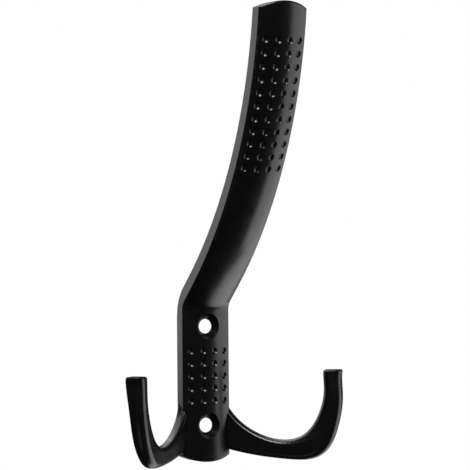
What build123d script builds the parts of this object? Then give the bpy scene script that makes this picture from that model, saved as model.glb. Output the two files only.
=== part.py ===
from build123d import *
import math
import os

# A coat hook cast in one piece. A crowned bar is the wall plate below and a long leaning arm above,
# and two side hooks grow out of the plate's lower sides. The wall is the plane y = 0, the hook stands
# in front of it towards -Y, and +Z is up. The origin is on the wall, midway between the screw holes.
# Lengths are in millimetres and angles in degrees.

# Bar section: flat sides and a front that is crowned across its width
bar_width = 17.0
bar_side_depth = 4.2
bar_crown = 2.06
front_edge_round = 0.8
back_edge_round = 0.3

# Bar from the side: upright plate, bend, straight neck, and an arm that curves back towards upright
bend_height = 24.7
bend_lean = 47.5
bend_back_radius = 13.0
bend_front_radius = 4.0
neck_length = 12.0
arm_back_radius = 133.0

# Rounded ends of the bar, as seen from the front
bar_top = 116.7
bar_bottom = -27.8
bar_end_radius = 19.0
bar_end_round = 0.6

# Countersunk screw holes, one above the other
screw_spacing = 32.0
screw_hole_diameter = 4.7
screw_hole_land = 0.3
countersink_angle = 72.0

# Pockets in the back of the plate around the screw holes, which leave a flat rim and a rib against the wall
pocket_depth = 3.4
pocket_width = 11.0
pocket_corner = 3.0
pockets_bottom = -24.0
pockets_top = 21.0
pocket_rib = 8.0

# Round dimples in the front of the plate and of the arm
dimple_diameter = 2.4
dimple_depth = 0.58
dimple_columns = 4
dimple_column_pitch = 4.0
plate_dimple_rows = 5
plate_dimple_pitch = 4.02
arm_dimple_rows = 11
arm_dimple_pitch = 4.15
arm_dimple_margin = 12.3

# Side hook in plan: an upright middle plane, which turns out from the wall, and a bow in front of it
hook_turn = 39.5
hook_root_depth = 2.5
hook_bury = 1.4
hook_reach = 38.0
hook_bow = 1.55

# Side hook section: a blade that flares to the tip, well rounded in front, and the count of sections in
# each stretch of its outline
hook_root_width = 3.2
hook_tip_width = 5.65
hook_flare = 2.2
hook_front_round = 2.7
hook_back_round = 0.7
hook_tip_chamfer = 0.45
hook_steps = (1, 3, 3, 2, 1)

# Side hook outline: heights where it leaves the plate, thicknesses, and the arcs of its two curls
hook_root_top = -9.7
hook_root_bottom = -24.1
hook_lowest = -27.4
hook_floor_thickness = 6.45
hook_tip_thickness = 6.0
hook_tip_height = 1.75
hook_valley_radius = 10.2
hook_valley_turn = 56.2
hook_inner_radius = 22.7
hook_heel_radius = 9.9
hook_heel_turn = 66.8
hook_outer_radius = 38.2

# Spare turn at the arm's end, which the front outline trims off
arm_spare_turn = 5.0

# Angles within which a face counts as facing a direction squarely, or as leaning towards it
square_angle = 26.0
leaning_angle = 72.0

# Sketch planes: local x is forward in the side view and to the right in the front view, local y is up
side_view = Plane(origin=(0, 0, 0), x_dir=(0, -1, 0), z_dir=(-1, 0, 0))
front_view = Plane(origin=(0, 0, 0), x_dir=(1, 0, 0), z_dir=(0, -1, 0))
clear = bar_width + abs(bar_top - bar_bottom)
lean = math.radians(bend_lean)
squarely = math.cos(math.radians(square_angle))
leaning = math.cos(math.radians(leaning_angle))
crest_depth = bar_side_depth + bar_crown
crown_radius = ((bar_width / 2) ** 2 + bar_crown**2) / (2 * bar_crown)


def crown_depth(across):
    """How far the crowned front lies from the bar's back, at a distance from its middle line."""
    return crest_depth - crown_radius + math.sqrt(crown_radius**2 - across**2)


def arm_place(depth, turn):
    """Forward distance and height of the arm at a depth from its back, after a turn in radians."""
    radius = arm_back_radius + depth
    forward = neck_length * math.sin(lean) + depth * math.cos(lean)
    height = bend_height + neck_length * math.cos(lean) - depth * math.sin(lean)
    angle = lean - turn
    return (
        forward + radius * (math.cos(angle) - math.cos(lean)),
        height + radius * (math.sin(lean) - math.sin(angle)),
    )


def arm_turn_at(depth, height):
    """Turn along the arm, in radians, at which a line at this depth from its back reaches a height."""
    start = arm_place(depth, 0)[1]
    sine = math.sin(lean) - (height - start) / (arm_back_radius + depth)
    return lean - math.asin(sine)


# Crowned blank

def bar_section(back_margin):
    """Section of the bar on the XY plane: local y is forward from the front edge, the back is left long."""
    half = bar_width / 2
    back = -bar_side_depth - back_margin
    outline = Polyline((-half, 0), (-half, back), (half, back), (half, 0))
    outline += ThreePointArc((half, 0), (0, bar_crown), (-half, 0))
    face = make_face(outline)
    corners = face.vertices().sort_by(Axis.Y)[-2:]
    return fillet(corners, front_edge_round)


def crowned_blank():
    """Crowned front of the whole bar, with a spare thickness behind it that the side outline trims."""
    section = bar_section(bar_side_depth)
    bend_rise = (bar_side_depth + bend_front_radius) * math.tan(lean / 2)
    bend_start = bend_height - bend_rise
    bend_plane = Plane(origin=(0, -bar_side_depth, bend_start), x_dir=(-1, 0, 0), z_dir=(0, 0, 1))
    plate = extrude(bend_plane * section, bar_bottom - bar_width - bend_start)

    bend_axis = Axis((0, -bar_side_depth - bend_front_radius, bend_start), (1, 0, 0))
    bend = revolve(bend_plane * section, axis=bend_axis, revolution_arc=bend_lean)

    along = Vector(0, -math.sin(lean), math.cos(lean))
    arm_forward, arm_height = arm_place(bar_side_depth, 0)
    arm_start = Vector(0, -arm_forward, arm_height)
    neck_run = neck_length - bend_rise
    arm_plane = Plane(origin=arm_start, x_dir=(-1, 0, 0), z_dir=along)
    neck = extrude(arm_plane * section, -neck_run)

    arm_centre = arm_start + Vector(0, math.cos(lean), math.sin(lean)) * (arm_back_radius + bar_side_depth)
    arm_turn = math.degrees(arm_turn_at(0, bar_top)) + arm_spare_turn
    arm = revolve(arm_plane * section, axis=Axis(arm_centre, (-1, 0, 0)), revolution_arc=arm_turn)
    return plate + bend + neck + arm


# Outlines that trim the blank

def side_outline():
    """Everything in front of the bar's back line, seen from the side."""
    bend_rise = bend_back_radius * math.tan(lean / 2)
    start = (0, bar_bottom - clear)
    bend_start = (0, bend_height - bend_rise)
    upright = Line(start, bend_start)
    bend = JernArc(bend_start, (0, 1), bend_back_radius, -bend_lean)
    neck = Line(bend @ 1, arm_place(0, 0))
    arm_turn = math.degrees(arm_turn_at(0, bar_top)) + arm_spare_turn
    arm = JernArc(neck @ 1, neck % 1, arm_back_radius, arm_turn)
    front = Polyline(arm @ 1, (clear, (arm @ 1).Y), (clear, start[1]), start)
    return make_face(upright + bend + neck + arm + front)


def front_outline():
    """The bar's width and its two rounded ends, seen from the front."""
    half = bar_width / 2
    end_sag = bar_end_radius - math.sqrt(bar_end_radius**2 - half**2)
    low = bar_bottom + end_sag
    high = bar_top - end_sag
    left = Line((-half, low), (-half, high))
    top = ThreePointArc((-half, high), (0, bar_top), (half, high))
    right = Line((half, high), (half, low))
    bottom = ThreePointArc((half, low), (0, bar_bottom), (-half, low))
    return make_face(left + top + right + bottom)


def back_faces(bar):
    """Faces along the bar's back, upright or leaning."""
    return bar.faces().filter_by(lambda face: face.normal_at().Y > leaning)


def end_faces(bar):
    """The two rounded ends."""
    return bar.faces().filter_by(lambda face: abs(face.normal_at().Z) > squarely)


def plain_bar():
    """The bar with its true back, ends and rounded edges, before the holes and dimples."""
    bar = crowned_blank()
    bar &= extrude(side_view * side_outline(), bar_width, both=True)
    bar &= extrude(front_view * front_outline(), clear, both=True)
    bar = fillet(end_faces(bar).edges() - back_faces(bar).edges(), bar_end_round)
    sides = bar.faces().filter_by(Axis.X)
    return fillet(back_faces(bar).edges() & sides.edges(), back_edge_round)


# Pockets and screw holes

def back_pocket(low, high):
    """Shallow pocket in the plate's back, between two heights."""
    outline = Pos(0, (low + high) / 2) * RectangleRounded(pocket_width, high - low, pocket_corner)
    return extrude(front_view * outline, pocket_depth)


def screw_hole(height):
    """Countersunk hole whose narrowest part is a short land just in front of its pocket."""
    throat = screw_hole_diameter / 2
    land_front = pocket_depth + screw_hole_land
    mouth_front = crest_depth + bar_crown
    mouth = throat + (mouth_front - land_front) * math.tan(math.radians(countersink_angle / 2))
    outline = Polyline(
        (0, 0), (0, throat), (land_front, throat), (mouth_front, mouth), (mouth_front, 0), close=True
    )
    profile = make_face(Pos(0, height) * outline)
    return revolve(side_view * profile, axis=Axis((0, 0, height), (0, -1, 0)))


# Dimples

def dimple_ball(across, forward, height, out_forward, out_up):
    """Ball that presses one dimple into the surface at a point, along the outward direction."""
    ball_radius = (dimple_diameter**2 / 4 + dimple_depth**2) / (2 * dimple_depth)
    lift = ball_radius - dimple_depth
    side = across / crown_radius
    front = math.sqrt(1 - side**2)
    outward = Vector(side, -front * out_forward, front * out_up)
    surface = Vector(across, -forward, height)
    return Pos(surface + outward * lift) * Sphere(ball_radius)


def dimple_columns_across():
    """Distances of the dimple columns from the bar's middle line."""
    first = -(dimple_columns - 1) / 2 * dimple_column_pitch
    return [first + column * dimple_column_pitch for column in range(dimple_columns)]


def plate_dimples():
    """Balls for the rows between the two screw holes."""
    first = -(plate_dimple_rows - 1) / 2 * plate_dimple_pitch
    heights = [first + row * plate_dimple_pitch for row in range(plate_dimple_rows)]
    return [
        dimple_ball(across, crown_depth(across), height, 1, 0)
        for height in heights for across in dimple_columns_across()
    ]


def arm_dimples():
    """Balls for the rows on the arm, counted down from its end along the crest."""
    crest_radius = arm_back_radius + crest_depth
    top_row = arm_turn_at(crest_depth, bar_top) - arm_dimple_margin / crest_radius
    balls = []
    for row in range(arm_dimple_rows):
        turn = top_row - row * arm_dimple_pitch / crest_radius
        tilt = lean - turn
        for across in dimple_columns_across():
            forward, height = arm_place(crown_depth(across), turn)
            balls.append(dimple_ball(across, forward, height, math.cos(tilt), -math.sin(tilt)))
    return balls


# Side hooks

def curl(low_point, radius, turn, next_radius):
    """Arcs from a low point outward and up to upright, then a straight run to the tip's height."""
    first = JernArc(low_point, (1, 0), radius, turn)
    second = JernArc(first @ 1, first % 1, next_radius, 90 - turn)
    rise = Line(second @ 1, ((second @ 1).X, hook_tip_height))
    return [first, second, rise]


def root_run(low_point, root_height):
    """Straight run out of the plate's side and the arc that goes on to a low point."""
    arc = TangentArc(low_point, (0, root_height), tangent=(-1, 0))
    inward = arc % 1
    run = Line(arc @ 1 - inward * (hook_bury / inward.X), arc @ 1)
    return [run, TangentArc(run @ 1, low_point, tangent=run % 1)]


def curl_reach(radius, turn, next_radius):
    """How far outward a curl goes from its low point."""
    return radius * math.sin(math.radians(turn)) + next_radius * (1 - math.sin(math.radians(turn)))


def hook_lines():
    """Inner and outer lines of a side hook in its own plane, each as a run, a root arc and a curl."""
    inner_curl = (hook_valley_radius, hook_valley_turn, hook_inner_radius)
    outer_curl = (hook_heel_radius, hook_heel_turn, hook_outer_radius)
    valley = (hook_reach - hook_tip_thickness - curl_reach(*inner_curl), hook_lowest + hook_floor_thickness)
    lowest = (hook_reach - curl_reach(*outer_curl), hook_lowest)
    inner = root_run(valley, hook_root_top) + curl(valley, *inner_curl)
    outer = root_run(lowest, hook_root_bottom) + curl(lowest, *outer_curl)
    return list(zip(inner, outer))


def hook_section(upright, inner, outer, share):
    """Rounded section of a side hook between its two lines, at a share of the way to its tip."""
    across = outer - inner
    width = hook_root_width + (hook_tip_width - hook_root_width) * share**hook_flare
    across_way = upright.from_local_coords(across) - upright.origin
    along_way = across_way.cross(upright.z_dir)
    bow = hook_bow * math.sin(math.pi * share)
    place = upright.from_local_coords((inner + outer) / 2) + upright.z_dir * bow
    front_round = min(hook_front_round, width - 2 * hook_back_round, across.length / 2 - hook_back_round)
    section = Rectangle(across.length, width)
    section = fillet(section.vertices().sort_by(Axis.Y)[:2], hook_back_round)
    section = fillet(section.vertices().sort_by(Axis.Y)[-2:], front_round)
    return Plane(origin=place, x_dir=across_way, z_dir=along_way) * section


def side_hook():
    """The hook on the right: a loft of rounded sections along its curl, cut flat at the wall."""
    turn = math.radians(hook_turn)
    outward = (math.cos(turn), -math.sin(turn), 0)
    frontward = (-math.sin(turn), -math.cos(turn), 0)
    upright = Plane(origin=(bar_width / 2, -hook_root_depth, 0), x_dir=outward, z_dir=frontward)
    places = []
    for (inner, outer), steps in zip(hook_lines(), hook_steps):
        places += [(inner @ (step / steps), outer @ (step / steps)) for step in range(steps)]
    places.append((inner @ 1, outer @ 1))
    last = len(places) - 1
    hook = loft([hook_section(upright, *place, index / last) for index, place in enumerate(places)])
    tip = hook.faces().sort_by(Axis.Z)[-1]
    hook = chamfer(tip.edges(), hook_tip_chamfer)
    behind_wall = extrude(front_view * Rectangle(2 * clear, 2 * clear), -clear)
    return hook - behind_wall


bar = plain_bar()
bar -= back_pocket(pockets_bottom, -pocket_rib / 2)
bar -= back_pocket(pocket_rib / 2, pockets_top)
for height in (-screw_spacing / 2, screw_spacing / 2):
    bar -= screw_hole(height)
bar -= plate_dimples() + arm_dimples()
right_hook = side_hook()
body = bar + right_hook + mirror(right_hook, about=Plane.YZ)
os.makedirs("parts", exist_ok=True)
export_step(body, "parts/hook_body.step")
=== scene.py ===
import math

import bmesh
import bpy
from mathutils import Matrix, Vector

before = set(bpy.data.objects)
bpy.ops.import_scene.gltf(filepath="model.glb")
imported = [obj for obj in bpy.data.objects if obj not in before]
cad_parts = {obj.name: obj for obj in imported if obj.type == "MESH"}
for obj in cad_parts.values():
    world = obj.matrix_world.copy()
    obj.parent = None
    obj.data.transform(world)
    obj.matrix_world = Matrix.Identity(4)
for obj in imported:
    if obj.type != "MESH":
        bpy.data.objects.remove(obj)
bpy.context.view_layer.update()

# Hook body
# The whole coat hook is one zinc-alloy die casting under a satin black powder coat. Two screws through
# its plate hold it on a wall. The coat has a fine grain, a faint ripple where it flowed out in the oven,
# and a gloss that varies a little over the casting.

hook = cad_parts["hook_body"]

coat_black = (0.0015, 0.0015, 0.0016, 1.0)
gloss_patch_size = 0.006
gloss_patch_detail = 3.0
glossy_patch_level = 0.3
dull_patch_level = 0.7
glossy_roughness = 0.22
dull_roughness = 0.28
ripple_size = 0.0022
ripple_detail = 1.0
ripple_height = 0.000012
grain_size = 0.0005
grain_detail = 2.0
grain_height = 0.000005

coat = bpy.data.materials.new("satin_black_coat")
coat.use_nodes = True
coat_nodes = coat.node_tree.nodes
coat_links = coat.node_tree.links
coat_shader = coat_nodes["Principled BSDF"]
coat_shader.inputs["Base Color"].default_value = coat_black
place = coat_nodes.new("ShaderNodeTexCoord")


def coat_noise(size, detail):
    """A noise fixed to the casting, with patches of about this size in metres."""
    noise = coat_nodes.new("ShaderNodeTexNoise")
    noise.inputs["Scale"].default_value = 1 / size
    noise.inputs["Detail"].default_value = detail
    coat_links.new(place.outputs["Object"], noise.inputs["Vector"])
    return noise.outputs["Fac"]


def coat_bump(size, detail, height):
    """A bump of this height in metres, made from such a noise."""
    bump = coat_nodes.new("ShaderNodeBump")
    bump.inputs["Distance"].default_value = height
    coat_links.new(coat_noise(size, detail), bump.inputs["Height"])
    return bump


gloss = coat_nodes.new("ShaderNodeMapRange")
gloss.inputs["From Min"].default_value = glossy_patch_level
gloss.inputs["From Max"].default_value = dull_patch_level
gloss.inputs["To Min"].default_value = glossy_roughness
gloss.inputs["To Max"].default_value = dull_roughness
coat_links.new(coat_noise(gloss_patch_size, gloss_patch_detail), gloss.inputs["Value"])
coat_links.new(gloss.outputs["Result"], coat_shader.inputs["Roughness"])

ripple = coat_bump(ripple_size, ripple_detail, ripple_height)
grain = coat_bump(grain_size, grain_detail, grain_height)
coat_links.new(ripple.outputs["Normal"], grain.inputs["Normal"])
coat_links.new(grain.outputs["Normal"], coat_shader.inputs["Normal"])
hook.data.materials.clear()
hook.data.materials.append(coat)

# Floor
# The plain pale floor of a room, which lies as far below the hook as it would under a hook on a wall.
# The camera sees it as white as the surround, and it throws no light up at the hook.

floor_drop = 1.7
floor_width = 12.0
floor_pale = (0.7, 0.7, 0.7, 1.0)
floor_roughness = 0.9
white = (1.0, 1.0, 1.0, 1.0)

floor_form = bmesh.new()
bmesh.ops.create_grid(floor_form, x_segments=1, y_segments=1, size=floor_width / 2)
bmesh.ops.translate(floor_form, verts=floor_form.verts, vec=(0.0, 0.0, -floor_drop))
floor_mesh = bpy.data.meshes.new("floor")
floor_form.to_mesh(floor_mesh)
floor_form.free()
floor = bpy.data.objects.new("floor", floor_mesh)
floor.visible_diffuse = False
floor.visible_glossy = False
bpy.context.scene.collection.objects.link(floor)

floor_finish = bpy.data.materials.new("pale_floor")
floor_finish.use_nodes = True
floor_nodes = floor_finish.node_tree.nodes
floor_links = floor_finish.node_tree.links
floor_shader = floor_nodes["Principled BSDF"]
floor_shader.inputs["Base Color"].default_value = floor_pale
floor_shader.inputs["Roughness"].default_value = floor_roughness
floor_shader.inputs["Emission Color"].default_value = white
floor_seen_by = floor_nodes.new("ShaderNodeLightPath")
floor_links.new(floor_seen_by.outputs["Is Camera Ray"], floor_shader.inputs["Emission Strength"])
floor_mesh.materials.append(floor_finish)

# Studio
# A white surround that the camera sees, which is dark for reflections, and eight soft boxes round the hook.
# The brightness of a soft box is what a mirror shows of it, where 1 is white.

strength_to_camera = 1.0
strength_to_hook = 0.045
hook_middle = Vector((0.0, -0.025, 0.045))

world = bpy.data.worlds.new("white_surround")
bpy.context.scene.world = world
world.use_nodes = True
world_nodes = world.node_tree.nodes
world_links = world.node_tree.links
surround = world_nodes["Background"]
surround.inputs["Color"].default_value = white
surround_seen_by = world_nodes.new("ShaderNodeLightPath")
strength = world_nodes.new("ShaderNodeMapRange")
strength.inputs["To Min"].default_value = strength_to_hook
strength.inputs["To Max"].default_value = strength_to_camera
world_links.new(surround_seen_by.outputs["Is Camera Ray"], strength.inputs["Value"])
world_links.new(strength.outputs["Result"], surround.inputs["Strength"])


def soft_box(name, toward, away, long_way, long_angle, short_angle, brightness):
    """A soft box in a direction from the hook, as wide as the angles in degrees, long side along long_way."""
    outward = Vector(toward).normalized()
    sideways = Vector(long_way).cross(outward).normalized()
    upward = outward.cross(sideways)
    lamp = bpy.data.lights.new(name, "AREA")
    lamp.shape = "RECTANGLE"
    lamp.size = 2 * away * math.tan(math.radians(short_angle / 2))
    lamp.size_y = 2 * away * math.tan(math.radians(long_angle / 2))
    lamp.energy = brightness * math.pi * lamp.size * lamp.size_y
    holder = bpy.data.objects.new(name, lamp)
    holder_axes = Matrix((sideways, upward, outward)).transposed()
    holder.matrix_world = Matrix.Translation(hook_middle + outward * away) @ holder_axes.to_4x4()
    holder.visible_camera = False
    bpy.context.scene.collection.objects.link(holder)


soft_box(
    "box_above_camera", toward=(-0.34, -0.62, 0.71), away=1.3,
    long_way=(0, 0, 1), long_angle=26, short_angle=36, brightness=14.0,
)
soft_box(
    "box_on_the_right", toward=(0.8825, -0.158, -0.426), away=1.15,
    long_way=(-0.218, 0.676, -0.703), long_angle=110, short_angle=40, brightness=1.85,
)
soft_box(
    "box_behind_left", toward=(-0.488, 0.873, 0.28), away=1.2,
    long_way=(0, 0, 1), long_angle=44, short_angle=50, brightness=1.25,
)
soft_box(
    "box_behind_right", toward=(0.75, 0.65, 0.1), away=1.6,
    long_way=(0, 0, 1), long_angle=70, short_angle=40, brightness=0.12,
)
soft_box(
    "box_below_left", toward=(-0.55, -0.55, -0.63), away=1.2,
    long_way=(0, 0, 1), long_angle=24, short_angle=24, brightness=0.3,
)
soft_box(
    "box_overhead", toward=(-0.05, 0.4, 0.91), away=1.3,
    long_way=(0, 1, 0), long_angle=54, short_angle=50, brightness=2.0,
)
soft_box(
    "box_high_behind", toward=(0.25, 0.8, 0.55), away=1.5,
    long_way=(0, 0, 1), long_angle=36, short_angle=40, brightness=0.9,
)
soft_box(
    "box_low_behind", toward=(0.3, 0.92, -0.24), away=1.5,
    long_way=(0, 0, 1), long_angle=30, short_angle=40, brightness=0.5,
)

# Camera
# A long lens at the hook's own height, which looks at it from the front and a little from its left.
# Depth of field is off.

picture_side = 470
focal_pixels = 2390.869
sensor_width = 36.0
azimuth = math.radians(-29.236)
elevation = math.radians(-0.201)
roll = math.radians(-0.448)
camera_away = 0.784109
camera_target = Vector((0.013406, 0.0, 0.045494))

camera = bpy.data.cameras.new("camera")
camera.sensor_width = sensor_width
camera.lens = focal_pixels * sensor_width / picture_side
camera.dof.use_dof = False
camera_object = bpy.data.objects.new("camera", camera)
backward = Vector((
    math.sin(azimuth) * math.cos(elevation),
    -math.cos(azimuth) * math.cos(elevation),
    math.sin(elevation),
))
level_right = Vector((math.cos(azimuth), math.sin(azimuth), 0.0))
level_up = backward.cross(level_right)
right = level_right * math.cos(roll) + level_up * math.sin(roll)
up = level_up * math.cos(roll) - level_right * math.sin(roll)
camera_axes = Matrix((right, up, backward)).transposed()
camera_object.matrix_world = Matrix.Translation(camera_target + backward * camera_away) @ camera_axes.to_4x4()
bpy.context.scene.collection.objects.link(camera_object)
bpy.context.scene.camera = camera_object
bpy.context.scene.view_settings.view_transform = "Standard"
